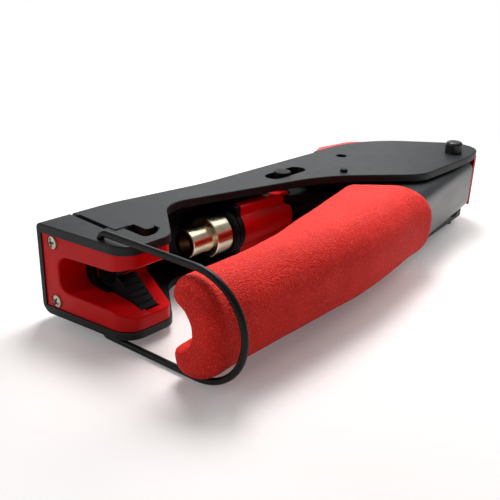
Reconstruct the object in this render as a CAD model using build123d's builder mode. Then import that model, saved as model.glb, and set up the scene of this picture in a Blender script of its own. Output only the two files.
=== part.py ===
from build123d import *
import math
import os

os.makedirs("parts", exist_ok=True)

# Hand compression tool for coaxial cable connectors.
# Millimetres. X runs along the tool axis from the head to the handle pivot,
# Y from the handle to the back, Z is up. The origin is on the tool axis in the cable jaws.

# Frame: a folded steel channel
HALF_H = 13.0
PLATE_T = 2.4
WEB_T = 1.6
BEND_R = 1.4
BEND_LOW_R = 3.0
RIM_R = 0.4
WEB_END_X = 95.0
HEAD_X = -15.0
END_SLOPE = 0.16
BACK_Y = 14.8
HEAD_FRONT_Y = -15.9
PAD_RISE = 0.25

# Handle pivot, link pivot in the handle, and cross pin of the slide
PIVOT = (132.0, -26.4)
LINK_PIVOT = (115.0, -28.6)
CROSS_PIN = (65.5, -1.2)
PIVOT_R = 2.5
LINK_PIN_R = 2.2
CROSS_PIN_R = 2.0
CROSS_LUG_R = 2.7
SLIDE_TRAVEL = 7.08

# Clearances
RUN = 0.05
FREE = 0.3
SEAT = 0.1

# Head
HEAD_RECESS = 0.4
SLOT_HALF = 5.1
SLOT_END_Y = 8.0
SLOT_END_R = 3.6
MOUTH_R = 0.6
BAY_X = -2.6
SCREW_Y = 9.5
SCREW_HEAD_R = 1.75
SCREW_R = 1.25
ANVIL_X = -4.4
ANVIL_T = 1.2
ANVIL_FRONT_Y = -1.1
ANVIL_SLOT_HALF = 4.3
ANVIL_SLOT_END_Y = 4.7
JAW_X0 = -3.5
JAW_X1 = 2.3
JAW_PIN_Y = -10.9
JAW_PIN_R = 1.0
JAW_BOSS_R = 2.1
JAW_SPLIT = 0.45
CABLE_R = 3.4
LEAF_T = 0.4
LEAF_W = 4.0

# Bail
WIRE_R = 0.9
BAIL_HINGE = (-9.5, -5.7)
LEG_GAP = 0.75
LEG_GAP_LOW = 0.3
BAIL_BEND_R = 2.2
BAIL_SLACK = 2.8
BAIL_ANGLE = -85.0

# Plunger and slide
TIP_X = 23.6
TIP_R = 4.2
TIP_L = 7.6
TIP_HOLE_R = 2.5
CONE_L = 0.3
PLUNGER_R = 6.2
PLUNGER_L = 14.5
STUD_R = 2.6
STUD_L = 12.5
RING_R = 7.3
RING_L = 2.2
FLANGE_T = 2.0
SLIDE_L = 22.1
SLIDE_R = 7.0
SLIDE_HALF_Y = 4.7
SHOULDER_Y = -1.0
CORE_HALF_Y = 3.6
CORE_BACK_Y = 3.6
CORE_EYE_R = 3.8
SPIGOT_R = 1.55
SPIGOT_L = 4.5

# Links
LINK_T = 2.5
EYE_FRONT_R = 3.8
EYE_REAR_R = 4.0
EYE_PLAY = 0.75

# Handle
WASHER_T = 0.8
CHANNEL_T = 2.0
WEB_Y = -44.5
WEB_BEND_X = 55.4
WEB_SLOPE = 0.1587
WEB_BEND_R = 150.0
CHANNEL_FREE_X = -6.0
CHANNEL_REAR_X = 141.2
CHANNEL_BEND_R = 4.0
BUSH_R = 3.3
WASHER_R = 4.6
CAP_R = 3.0
CAP_L = 4.1
PIVOT_END_R = 1.6
CLIP_R = 2.9
CLIP_T = 0.9

# Grip
GRIP_SIDE = 2.9
GRIP_SKIN = 3.0
GRIP_FREE_X = -11.0
GRIP_LIP = 2.7
GRIP_FRONT_R = 10.5
GRIP_BACK_R = 5.0
GRIP_END_R = 4.0
GRIP_REAR_R = 4.5
GRIP_REAR_BACK_X = 75.5
GRIP_REAR_FRONT_X = 97.3
GROOVE_R = 6.2
GROOVE_OUT = -1.5

# Stops, hole and return spring
STUD_POS = (82.5, -13.2)
STUD_BODY_R = 1.2
LANYARD = (97.5, -1.4)
LANYARD_R = 1.95
COIL_R = 2.4
COIL_WIRE_R = 0.45
COIL_TURNS = 14
COIL_PITCH = 1.5

# Derived sizes
INNER = HALF_H - PLATE_T
SCREW_Z = INNER - 2.1
POCKET_Z = INNER - 0.5
POCKET_END_Y = 5.5
POCKET_LIP_Y = JAW_PIN_Y - JAW_BOSS_R - 0.5
JAW_PIN = (JAW_PIN_Y, INNER - 3.4)
JAW_LIP_Z = JAW_PIN[1] - 0.3
JAW_TAIL_Z = JAW_PIN[1] - 2.6
LEAF_Z = POCKET_Z - 0.15
BAY_HALF = INNER - 3.7
BAIL_LEG_Z = HALF_H + WIRE_R + LEG_GAP
BAIL_LOW_Z = HALF_H + WIRE_R + LEG_GAP_LOW
BAIL_LOOP_R = (BAIL_LEG_Z + BAIL_LOW_Z) / 2
CHANNEL_HALF = INNER - WASHER_T - 2 * RUN
CHANNEL_IN = CHANNEL_HALF - CHANNEL_T
GRIP_HALF = CHANNEL_HALF + GRIP_SIDE
SLIDE_HALF_Z = INNER - 2.2
SHOULDER_HALF_Z = SLIDE_HALF_Z - 0.2
LINK_OUT = CHANNEL_IN - 0.9
LINK_IN = LINK_OUT - LINK_T
CORE_HALF_Z = LINK_IN - 0.5
EYE_ROOM_R = EYE_FRONT_R + EYE_PLAY + FREE
RING_X = TIP_X + PLUNGER_L
SLIDE_X = RING_X + RING_L + SEAT + FLANGE_T
SLIDE_END_X = SLIDE_X + SLIDE_L
LINK_ANGLE = math.degrees(math.atan2(LINK_PIVOT[1] - CROSS_PIN[1], LINK_PIVOT[0] - CROSS_PIN[0]))


def end_x(y):
    # Slanted head end
    return HEAD_X + END_SLOPE * (BACK_Y - y)


def corner_path(corners, closed=True):
    # Straight lines joined by tangent arcs at corners given as x, y, radius
    count = len(corners)
    enters = []
    mids = []
    leaves = []
    for i, (x, y, r) in enumerate(corners):
        p = Vector(x, y)
        if r <= 0:
            enters.append((x, y))
            mids.append(None)
            leaves.append((x, y))
            continue
        before = corners[i - 1]
        after = corners[(i + 1) % count]
        u = (Vector(before[0], before[1]) - p).normalized()
        v = (Vector(after[0], after[1]) - p).normalized()
        half = math.radians(u.get_angle(v)) / 2
        enter = p + u * (r / math.tan(half))
        leave = p + v * (r / math.tan(half))
        mid = p + (u + v).normalized() * (r / math.sin(half) - r)
        enters.append((enter.X, enter.Y))
        mids.append((mid.X, mid.Y))
        leaves.append((leave.X, leave.Y))
    for i in range(count):
        if i > 0 or closed:
            if math.dist(enters[i], leaves[i - 1]) > 1e-6:
                Line(leaves[i - 1], enters[i])
        if mids[i] is not None:
            ThreePointArc(enters[i], mids[i], leaves[i])


def inset(corners, gap):
    # The same closed counter-clockwise outline moved inwards by a gap
    count = len(corners)
    result = []
    for i, (x, y, r) in enumerate(corners):
        p = Vector(x, y)
        u = (p - Vector(corners[i - 1][0], corners[i - 1][1])).normalized()
        after = corners[(i + 1) % count]
        v = (Vector(after[0], after[1]) - p).normalized()
        turn = u.X * v.Y - u.Y * v.X
        cos_half = math.cos(math.atan2(turn, u.dot(v)) / 2)
        normal = (Vector(-u.Y, u.X) + Vector(-v.Y, v.X)).normalized()
        q = p + normal * (gap / cos_half)
        radius = r
        if r > 0:
            radius = max(r - gap, 0.2) if turn > 0 else r + gap
        result.append((q.X, q.Y, radius))
    return result


# Plan outline of the frame plates, counter-clockwise from the head's back corner
PLATE = [
    (HEAD_X, BACK_Y, 0),
    (end_x(HEAD_FRONT_Y), HEAD_FRONT_Y, 6.5),
    (4.8, HEAD_FRONT_Y, 4.5),
    (19.5, 3.1, 10.0),
    (74.5, -11.8, 50.0),
    (99.7, -33.2, 14.0),
    (133.0, -33.2, 45.0),
    (144.0, -30.5, 8.0),
    (147.3, -21.9, 8.0),
    (122.2, 8.3, 40.0),
    (40.0, 10.05, 60.0),
    (8.0, BACK_Y, 60.0),
]
BACK_IN = inset(PLATE, WEB_T)

# The lower plate draws back under the handle, close around the pivot pin's end
PLATE_LOW = PLATE[:6] + [(141.5, -28.65, 4.5)] + PLATE[8:]
GUIDE_X0 = 58.5
GUIDE_X1 = CROSS_PIN[0] + SLIDE_TRAVEL + CROSS_LUG_R + FREE

# Cable slot across the head, as Y, Z, radius
CABLE_SLOT = [
    (SLOT_END_Y, SLOT_HALF, SLOT_END_R),
    (-10.0, SLOT_HALF + 0.4, 8.0),
    (-17.5, SLOT_HALF + 2.2, 0),
    (-17.5, -SLOT_HALF - 2.2, 0),
    (-10.0, -SLOT_HALF - 0.4, 8.0),
    (SLOT_END_Y, -SLOT_HALF, SLOT_END_R),
]

# Plan outline of the handle channel, counter-clockwise from its free end
CHANNEL_BACK_Y = WEB_Y + 10.1
FLANGE_RISE = 0.2326
CHANNEL = [
    (CHANNEL_FREE_X, CHANNEL_BACK_Y, 0),
    (CHANNEL_FREE_X, WEB_Y, 0),
    (WEB_BEND_X, WEB_Y, WEB_BEND_R),
    (CHANNEL_REAR_X, WEB_Y + WEB_SLOPE * (CHANNEL_REAR_X - WEB_BEND_X), 1.0),
    (CHANNEL_REAR_X - 0.6, PIVOT[1] + 6.4, 5.0),
    (PIVOT[0] - 4.0, PIVOT[1] + 10.6, 12.0),
    (96.0, STUD_POS[1] + 0.4, 8.0),
    (STUD_POS[0] - 3.0, STUD_POS[1] - STUD_BODY_R - 0.7, 3.0),
    (72.0, CHANNEL_BACK_Y + FLANGE_RISE * (72.0 - 18.4), 6.0),
    (18.4, CHANNEL_BACK_Y, 120.0),
]
CHANNEL_IN_PLAN = inset(CHANNEL, CHANNEL_T)

# Plan outline of the grip
GRIP_BACK_Y = CHANNEL_BACK_Y + GRIP_LIP
GRIP_FRONT_Y = WEB_Y - GRIP_SKIN
GRIP_BEND_X = WEB_BEND_X - 0.2
GRIP = [
    (GRIP_FREE_X, GRIP_BACK_Y, 0),
    (GRIP_FREE_X, GRIP_FRONT_Y, 0),
    (GRIP_BEND_X, GRIP_FRONT_Y, WEB_BEND_R),
    (GRIP_REAR_FRONT_X, GRIP_FRONT_Y + WEB_SLOPE * (GRIP_REAR_FRONT_X - GRIP_BEND_X), 0),
    (GRIP_REAR_BACK_X, GRIP_BACK_Y + FLANGE_RISE * (GRIP_REAR_BACK_X - 18.4), 0),
    (18.4, GRIP_BACK_Y, 120.0),
]

# Folded frame
with BuildPart() as frame:
    with BuildSketch(Plane.XY.offset(-HALF_H)):
        with BuildLine():
            corner_path(PLATE)
        make_face()
        with Locations((WEB_END_X + 100, 0)):
            Rectangle(200, 200, mode=Mode.SUBTRACT)
    extrude(amount=2 * HALF_H)
    back_edges = frame.edges().filter_by(lambda e: abs(abs(e.center().Z) - HALF_H) < 1e-6)
    back_edges = back_edges.filter_by(lambda e: e.center().Y > 9.0 and e.length > 1.0)
    back_edges = back_edges.filter_by(lambda e: abs(e.tangent_at(0.5).X) > 0.5)
    fillet(back_edges.filter_by(lambda e: e.center().Z > 0), BEND_R)
    back_edges = frame.edges().filter_by(lambda e: abs(e.center().Z + HALF_H) < 1e-6)
    back_edges = back_edges.filter_by(lambda e: e.center().Y > 9.0 and e.length > 1.0)
    back_edges = back_edges.filter_by(lambda e: abs(e.tangent_at(0.5).X) > 0.5)
    fillet(back_edges, BEND_LOW_R)
    with BuildSketch(Plane.XY.offset(-INNER)):
        with BuildLine():
            corner_path([
                (HEAD_X - 30, BACK_IN[11][1], 0),
                (HEAD_X - 30, -80, 0),
                (WEB_END_X + 10, -80, 0),
                (WEB_END_X + 10, BACK_IN[10][1] - 0.0218 * (WEB_END_X + 10 - BACK_IN[10][0]), 0),
                BACK_IN[10],
                BACK_IN[11],
            ])
        make_face()
    extrude(amount=2 * INNER, mode=Mode.SUBTRACT)
    for low, outline in ((-HALF_H, PLATE_LOW), (INNER, PLATE)):
        with BuildSketch(Plane.XY.offset(low)):
            with BuildLine():
                corner_path(outline)
            make_face()
            with Locations((WEB_END_X - 100, 0)):
                Rectangle(200, 200, mode=Mode.SUBTRACT)
        extrude(amount=PLATE_T)
    # Raised pads over the anvil, top and bottom
    for low in (-HALF_H - PAD_RISE, HALF_H - 0.5):
        with BuildSketch(Plane.XY.offset(low)):
            with BuildLine():
                corner_path([
                    (ANVIL_X + 0.7, BACK_Y - 3.2, 0),
                    (ANVIL_X + 0.7, -4.0, 0),
                    (0.5, -4.0, 0),
                    (0.5, -10.5, 0),
                    (5.65, -10.5, 0),
                    (5.65, BACK_Y - 3.2, 0),
                ])
            make_face()
        extrude(amount=0.5 + PAD_RISE)
    # Round holes: bail, pivot, stop studs, lanyard
    with BuildSketch(Plane.XY):
        with Locations(PIVOT):
            Circle(PIVOT_R)
    extrude(amount=HALF_H + 1, mode=Mode.SUBTRACT)
    for spot, radius in (
        (BAIL_HINGE, WIRE_R + 0.08),
        (PIVOT, PIVOT_END_R),
        (STUD_POS, STUD_BODY_R),
        (LANYARD, LANYARD_R),
    ):
        with BuildSketch(Plane.XY.offset(-HALF_H - 1)):
            with Locations(spot):
                Circle(radius)
        extrude(amount=2 * HALF_H + 2, mode=Mode.SUBTRACT)
    # Guide slots of the cross pin
    with BuildSketch(Plane.XY.offset(-HALF_H - 1)):
        with Locations(((GUIDE_X0 + GUIDE_X1) / 2, CROSS_PIN[1])):
            SlotOverall(GUIDE_X1 - GUIDE_X0, 2 * (CROSS_LUG_R + FREE))
    extrude(amount=2 * HALF_H + 2, mode=Mode.SUBTRACT)
    # Slots for the anvil tabs and the tongues beside them
    for low in (-HALF_H - 1, INNER - 0.15):
        with BuildSketch(Plane.XY.offset(low)):
            with Locations((ANVIL_X, (ANVIL_FRONT_Y - SEAT + BACK_Y + 5) / 2)):
                Rectangle(ANVIL_T + 2 * RUN, BACK_Y + 5 - ANVIL_FRONT_Y + SEAT)
            with BuildLine():
                corner_path([
                    (-1.2, -4.3, 0.5),
                    (-1.2, -12.7, 1.5),
                    (5.9, -12.7, 5.0),
                    (5.9, -6.4, 0.2),
                    (5.4, -6.4, 0.2),
                    (5.4, -9.4, 1.4),
                    (2.1, -9.4, 0.8),
                    (2.1, -4.3, 0.4),
                ])
            make_face()
        extrude(amount=PLATE_T + 1.15, mode=Mode.SUBTRACT)
    # Tumbled rims around both plates
    plate_rims = []
    for level, outline in ((-HALF_H, PLATE_LOW), (HALF_H, PLATE)):
        with BuildLine(mode=Mode.PRIVATE) as rim:
            corner_path(outline)
        level_edges = frame.edges().filter_by(lambda e: abs(e.center().Z - level) < 1e-6)
        plate_rims += level_edges.filter_by(
            lambda e: rim.line.distance_to(Vector((e @ 0.5).X, (e @ 0.5).Y, 0)) < 0.02
        )
    fillet(plate_rims, RIM_R)
frame.part.label = "frame"
export_step(frame.part, "parts/frame.step")

# Plan of the head block between the plates
HEAD_SLOPE = 0.4435
HEAD_REAR_X = 4.6
HEAD_BACK = inset(PLATE, WEB_T + SEAT)
HEAD_PLAN = [
    (end_x(HEAD_BACK[0][1]) + HEAD_RECESS, HEAD_BACK[11][1], 0),
    (end_x(HEAD_FRONT_Y) + HEAD_RECESS, HEAD_FRONT_Y + 0.2, 6.3),
    (HEAD_REAR_X, HEAD_FRONT_Y + 0.2, 3.2),
    (HEAD_REAR_X + HEAD_SLOPE * 26.5, HEAD_FRONT_Y + 26.7, 0.6),
    HEAD_BACK[11],
]

# Red head block with the cable slot
with BuildPart() as head_block:
    with BuildSketch(Plane.XY.offset(-INNER + RUN)):
        with BuildLine():
            corner_path(HEAD_PLAN)
        make_face()
    extrude(amount=2 * (INNER - RUN))
    with BuildSketch(Plane.YZ.offset(HEAD_X - 5)):
        with BuildLine():
            corner_path(CABLE_SLOT)
        make_face()
    extrude(amount=60, mode=Mode.SUBTRACT)
    # Softened edges of the slot's mouth
    mouth = head_block.edges().filter_by(
        lambda e: abs((e @ 0.5).X - end_x((e @ 0.5).Y) - HEAD_RECESS) < 0.02 and abs((e @ 0.5).Z) < 9.0
    )
    fillet(mouth.filter_by(lambda e: (e @ 0.5).Y < SLOT_END_Y + 0.1), MOUTH_R)
    with BuildSketch(Plane.YZ.offset(BAY_X)):
        with BuildLine():
            corner_path([
                (SLOT_END_Y, BAY_HALF, SLOT_END_R),
                (-20.0, BAY_HALF, 0),
                (-20.0, -BAY_HALF, 0),
                (SLOT_END_Y, -BAY_HALF, SLOT_END_R),
            ])
        make_face()
    extrude(amount=40, mode=Mode.SUBTRACT)
    # Seat of the anvil plate
    with BuildSketch(Plane.XY.offset(-INNER - 1)):
        with Locations((ANVIL_X, (ANVIL_FRONT_Y - SEAT + 30) / 2)):
            Rectangle(ANVIL_T + 2 * RUN, 30 - ANVIL_FRONT_Y + SEAT)
    extrude(amount=2 * INNER + 2, mode=Mode.SUBTRACT)
    # Jaw pockets, leaf spring seats and jaw pin holes
    for side in (-1, 1):
        with BuildSketch(Plane.YZ.offset(JAW_X0 - 0.2)):
            with Locations(((POCKET_END_Y + POCKET_LIP_Y) / 2, side * (POCKET_Z + 4.5) / 2)):
                Rectangle(POCKET_END_Y - POCKET_LIP_Y, POCKET_Z - 4.5)
            with Locations((6.6, side * (POCKET_Z - 0.55))):
                Rectangle(4.2, 1.1)
        extrude(amount=JAW_X1 - JAW_X0 + 0.4, mode=Mode.SUBTRACT)
        with BuildSketch(Plane.YZ.offset(-7.5)):
            with Locations((JAW_PIN[0], side * JAW_PIN[1])):
                Circle(JAW_PIN_R)
        extrude(amount=JAW_X1 + 7.6, mode=Mode.SUBTRACT)
        # Screw holes with counterbores from the end face
        with BuildSketch(Plane.YZ.offset(HEAD_X - 1)):
            with Locations((SCREW_Y, side * SCREW_Z)):
                Circle(SCREW_R + SEAT)
        extrude(amount=16, mode=Mode.SUBTRACT)
        with BuildSketch(Plane.YZ.offset(HEAD_X - 1)):
            with Locations((SCREW_Y, side * SCREW_Z)):
                Circle(SCREW_HEAD_R + 0.15)
        extrude(amount=3.4, mode=Mode.SUBTRACT)
        # Wells for the bail ends
        with BuildSketch(Plane.XY.offset(side * INNER)):
            with Locations(BAIL_HINGE):
                Circle(WIRE_R + 0.4)
        extrude(amount=-side * 2.2, mode=Mode.SUBTRACT)
head_block.part.label = "head_block"
export_step(head_block.part, "parts/head_block.step")

# Two cross-recess screws into the anvil plate
SCREW_TOP_X = HEAD_X + 1.1
with BuildPart() as head_screws:
    for side in (-1, 1):
        with BuildSketch(Plane.YZ.offset(SCREW_TOP_X)):
            with Locations((SCREW_Y, side * SCREW_Z)):
                Circle(SCREW_HEAD_R)
        extrude(amount=1.3)
        with BuildSketch(Plane.YZ.offset(SCREW_TOP_X + 1.3)):
            with Locations((SCREW_Y, side * SCREW_Z)):
                Circle(SCREW_R)
        extrude(amount=ANVIL_X + 1.6 - SCREW_TOP_X - 1.3)
        with BuildSketch(Plane.YZ.offset(SCREW_TOP_X)):
            with Locations((SCREW_Y, side * SCREW_Z)):
                Rectangle(2.2, 0.5, rotation=20)
                Rectangle(2.2, 0.5, rotation=110)
        extrude(amount=0.8, mode=Mode.SUBTRACT)
head_screws.part.label = "head_screws"
export_step(head_screws.part, "parts/head_screws.step")

# Steel anvil plate standing across the channel, its tabs in the frame slots
TAB_Z = HALF_H - 0.8
with BuildPart() as anvil_plate:
    with BuildSketch(Plane.YZ.offset(ANVIL_X - ANVIL_T / 2)):
        with BuildLine():
            corner_path([
                (ANVIL_FRONT_Y, -TAB_Z, 0.4),
                (BACK_Y - 0.9, -TAB_Z, 1.2),
                (BACK_Y - 0.9, -INNER - RUN, 0),
                (BACK_Y - WEB_T - SEAT, -INNER - RUN, 0),
                (BACK_Y - WEB_T - SEAT, INNER + RUN, 0),
                (BACK_Y - 0.9, INNER + RUN, 0),
                (BACK_Y - 0.9, TAB_Z, 1.2),
                (ANVIL_FRONT_Y, TAB_Z, 0.4),
                (ANVIL_FRONT_Y, ANVIL_SLOT_HALF + 0.2, 0),
                (ANVIL_SLOT_END_Y, ANVIL_SLOT_HALF, SLOT_END_R),
                (ANVIL_SLOT_END_Y, -ANVIL_SLOT_HALF, SLOT_END_R),
                (ANVIL_FRONT_Y, -ANVIL_SLOT_HALF - 0.2, 0),
            ])
        make_face()
        for side in (-1, 1):
            with Locations((SCREW_Y, side * SCREW_Z)):
                Circle(SCREW_R, mode=Mode.SUBTRACT)
    extrude(amount=ANVIL_T)
anvil_plate.part.label = "anvil_plate"
export_step(anvil_plate.part, "parts/anvil_plate.step")


JAW_LIP_Y = JAW_PIN[0] - 1.9
JAW_THROAT_Y = -CABLE_R - 1.0
JAW_RAMP = (JAW_LIP_Z - JAW_SPLIT) / (JAW_THROAT_Y - JAW_LIP_Y)


def jaw_corners(side):
    # Jaw profile in Y, Z for the lower (-1) or upper (1) jaw
    outer = JAW_PIN[1] + JAW_BOSS_R
    return [
        (JAW_LIP_Y, side * JAW_LIP_Z, 0.5),
        (JAW_PIN[0] - 1.4, side * outer, 1.3),
        (JAW_PIN[0] + 1.0, side * outer, 3.0),
        (4.2, side * JAW_TAIL_Z, 0.8),
        (4.2, side * JAW_SPLIT, 0.3),
        (JAW_THROAT_Y, side * JAW_SPLIT, 0.6),
    ]


# Two hinged jaws with a half-round cable seat and a ribbed lead-in
jaws = []
for side in (-1, 1):
    with BuildPart() as jaw:
        with BuildSketch(Plane.YZ.offset(JAW_X0)):
            with BuildLine():
                corner_path(jaw_corners(side))
            make_face()
            Circle(CABLE_R, mode=Mode.SUBTRACT)
            with Locations((JAW_PIN[0], side * JAW_PIN[1])):
                Circle(JAW_PIN_R + RUN, mode=Mode.SUBTRACT)
        extrude(amount=JAW_X1 - JAW_X0)
        for k in range(5):
            rib_y = JAW_LIP_Y + 1.5 + 1.55 * k
            rib_z = side * (JAW_LIP_Z - JAW_RAMP * (rib_y - JAW_LIP_Y))
            with BuildSketch(Plane.YZ.offset(JAW_X0 - 1)):
                with Locations((rib_y, rib_z)):
                    Rectangle(0.45, 0.55, rotation=-side * math.degrees(math.atan(JAW_RAMP)))
            extrude(amount=JAW_X1 - JAW_X0 + 2, mode=Mode.SUBTRACT)
    jaws.append(jaw)
lower_jaw = jaws[0]
lower_jaw.part.label = "lower_jaw"
export_step(lower_jaw.part, "parts/lower_jaw.step")
upper_jaw = jaws[1]
upper_jaw.part.label = "upper_jaw"
export_step(upper_jaw.part, "parts/upper_jaw.step")

# Two jaw hinge pins pressed into the head block
with BuildPart() as jaw_pins:
    for side in (-1, 1):
        with BuildSketch(Plane.YZ.offset(-7.4)):
            with Locations((JAW_PIN[0], side * JAW_PIN[1])):
                Circle(JAW_PIN_R)
        extrude(amount=JAW_X1 + 7.4)
jaw_pins.part.label = "jaw_pins"
export_step(jaw_pins.part, "parts/jaw_pins.step")

# Leaf spring behind each jaw
leaves = []
for side in (-1, 1):
    with BuildPart() as leaf:
        with BuildSketch(Plane.YZ.offset((JAW_X0 + JAW_X1 - LEAF_W) / 2)):
            with BuildLine():
                corner_path([
                    (8.5, side * LEAF_Z, 0),
                    (8.5, side * (LEAF_Z - LEAF_T), 0),
                    (4.4, side * (LEAF_Z - LEAF_T), 1.0),
                    (1.0, side * (JAW_TAIL_Z + 1.6), 0.15),
                    (0.6, side * (JAW_TAIL_Z + 1.9), 0.15),
                    (4.2, side * LEAF_Z, 1.4),
                ])
            make_face()
        extrude(amount=LEAF_W)
    leaves.append(leaf)
lower_jaw_spring = leaves[0]
lower_jaw_spring.part.label = "lower_jaw_spring"
export_step(lower_jaw_spring.part, "parts/lower_jaw_spring.step")
upper_jaw_spring = leaves[1]
upper_jaw_spring.part.label = "upper_jaw_spring"
export_step(upper_jaw_spring.part, "parts/upper_jaw_spring.step")

# Wire bail hooked into both plates and looped around the grip's free end
BAIL_DIR = (math.cos(math.radians(BAIL_ANGLE)), math.sin(math.radians(BAIL_ANGLE)), 0)
BAIL_NORMAL = (BAIL_DIR[1], -BAIL_DIR[0], 0)
BAIL_LENGTH = (BAIL_HINGE[1] - GRIP_FRONT_Y) / -BAIL_DIR[1] + WIRE_R + BAIL_SLACK
bail_plane = Plane(origin=(BAIL_HINGE[0], BAIL_HINGE[1], 0), x_dir=BAIL_DIR, z_dir=BAIL_NORMAL)
with BuildPart() as bail:
    with BuildLine(bail_plane) as bail_path:
        corner_path(
            [
                (0, INNER - 1.4, 0),
                (0, BAIL_LEG_Z, BAIL_BEND_R),
                (BAIL_LENGTH, BAIL_LEG_Z, BAIL_LOOP_R),
                (BAIL_LENGTH, -BAIL_LOW_Z, BAIL_LOOP_R),
                (0, -BAIL_LOW_Z, BAIL_LOW_Z - HALF_H),
                (0, -INNER + 1.4, 0),
            ],
            closed=False,
        )
    with BuildSketch(Plane(origin=bail_path.line @ 0, z_dir=bail_path.line % 0)):
        Circle(WIRE_R)
    sweep(path=bail_path.line)
bail.part.label = "bail"
export_step(bail.part, "parts/bail.step")

# Two stop studs riveted into the plates
with BuildPart() as stop_studs:
    for side in (-1, 1):
        with BuildSketch(Plane.XY.offset(side * (CHANNEL_IN + 0.2))):
            with Locations(STUD_POS):
                Circle(STUD_BODY_R)
        extrude(amount=side * (HALF_H + 0.9 - CHANNEL_IN - 0.2))
stop_studs.part.label = "stop_studs"
export_step(stop_studs.part, "parts/stop_studs.step")

# Pivot pin with a domed cap above and a reduced end in the lower plate
with BuildPart() as pivot_pin:
    with BuildSketch(Plane.XY.offset(-INNER)):
        with Locations(PIVOT):
            Circle(PIVOT_R)
    extrude(amount=INNER + HALF_H)
    with BuildSketch(Plane.XY.offset(HALF_H)):
        with Locations(PIVOT):
            Circle(CAP_R)
    extrude(amount=CAP_L)
    fillet(pivot_pin.edges().filter_by(GeomType.CIRCLE).sort_by(Axis.Z)[-1], 1.1)
    with BuildSketch(Plane.XY.offset(-HALF_H - CLIP_T)):
        with Locations(PIVOT):
            Circle(PIVOT_END_R)
    extrude(amount=HALF_H + CLIP_T - INNER)
pivot_pin.part.label = "pivot_pin"
export_step(pivot_pin.part, "parts/pivot_pin.step")

# Retaining collar under the bottom plate
with BuildPart() as pivot_clip:
    with BuildSketch(Plane.XY.offset(-HALF_H - CLIP_T)):
        with Locations(PIVOT):
            Circle(CLIP_R)
            Circle(PIVOT_END_R, mode=Mode.SUBTRACT)
    extrude(amount=CLIP_T)
pivot_clip.part.label = "pivot_clip"
export_step(pivot_clip.part, "parts/pivot_clip.step")

# Thrust washers between the handle and the plates
with BuildPart() as pivot_washers:
    for low in (-INNER + RUN, CHANNEL_HALF + RUN):
        with BuildSketch(Plane.XY.offset(low)):
            with Locations(PIVOT):
                Circle(WASHER_R)
                Circle(PIVOT_R + RUN, mode=Mode.SUBTRACT)
        extrude(amount=WASHER_T)
pivot_washers.part.label = "pivot_washers"
export_step(pivot_washers.part, "parts/pivot_washers.step")

# Red insert closing the back of the frame behind the pivot
INSERT_X = WEB_END_X + 0.3
INSERT_T = 2.0
INSERT_OUT = 0.35
INSERT_LOW_Y = PIVOT[1] - 4.2
INSERT_CUT_Y = PIVOT[1] + 2.4
INSERT_CUT_Z = 2.4
HEEL_Y = WEB_Y + WEB_SLOPE * (CHANNEL_REAR_X - WEB_BEND_X)
HEEL_R = math.hypot(CHANNEL_REAR_X - PIVOT[0], HEEL_Y - PIVOT[1])
SPRING_END_X = 92.0
with BuildPart() as back_insert:
    with BuildSketch(Plane.XY.offset(-INNER + RUN)):
        with BuildLine():
            corner_path(inset(PLATE, -INSERT_OUT))
        make_face()
        with BuildLine():
            corner_path(inset(PLATE, INSERT_T))
        make_face(mode=Mode.SUBTRACT)
        with BuildLine():
            corner_path([
                (INSERT_X, 40, 0),
                (INSERT_X, -6, 0),
                (PIVOT[0] - 4, -6, 0),
                (PIVOT[0] - 4, INSERT_LOW_Y, 0),
                (170, INSERT_LOW_Y, 0),
                (170, 40, 0),
            ])
        make_face(mode=Mode.INTERSECT)
        with Locations(PIVOT):
            Circle(HEEL_R + FREE, mode=Mode.SUBTRACT)
    extrude(amount=2 * (INNER - RUN))
    # Low front corner cut back beside the handle
    with BuildSketch(Plane.XY.offset(-INNER)):
        with Locations((PIVOT[0] + 15, INSERT_CUT_Y - 20)):
            Rectangle(30, 40)
    extrude(amount=INSERT_CUT_Z, mode=Mode.SUBTRACT)
    # Rounded hump standing out behind the plates
    with BuildSketch(Plane.XY.offset(-HALF_H + 0.3)):
        with BuildLine():
            corner_path([
                (INSERT_X + 0.6, 8.9, 0),
                (101.4, 11.4, 4.0),
                (117.0, 9.0, 9.0),
                (121.0, 5.2, 0),
                (112.0, 5.8, 0),
                (INSERT_X + 0.6, 7.6, 0),
            ])
        make_face()
        with BuildLine():
            corner_path(inset(PLATE, -0.1))
        make_face(mode=Mode.SUBTRACT)
    extrude(amount=2 * HALF_H - 0.6)
    # Lug and spigot that hold the return spring
    with BuildSketch(Plane.XY.offset(-2.6)):
        with BuildLine():
            corner_path([
                (SPRING_END_X, CROSS_PIN[1] - 2.6, 0.8),
                (94.4, CROSS_PIN[1] - 2.6, 0.8),
                (94.4, 4.4, 1.0),
                (INSERT_X + 2.0, 5.6, 0),
                (INSERT_X + 2.0, 7.4, 0),
                (INSERT_X, 7.4, 0),
                (INSERT_X, 6.2, 0),
                (SPRING_END_X, 6.2, 0.8),
            ])
        make_face()
    extrude(amount=5.2)
    with BuildSketch(Plane.YZ.offset(SPRING_END_X)):
        with Locations((CROSS_PIN[1], 0)):
            Circle(SPIGOT_R)
    extrude(amount=-SPIGOT_L)
back_insert.part.label = "back_insert"
export_step(back_insert.part, "parts/back_insert.step")

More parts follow.
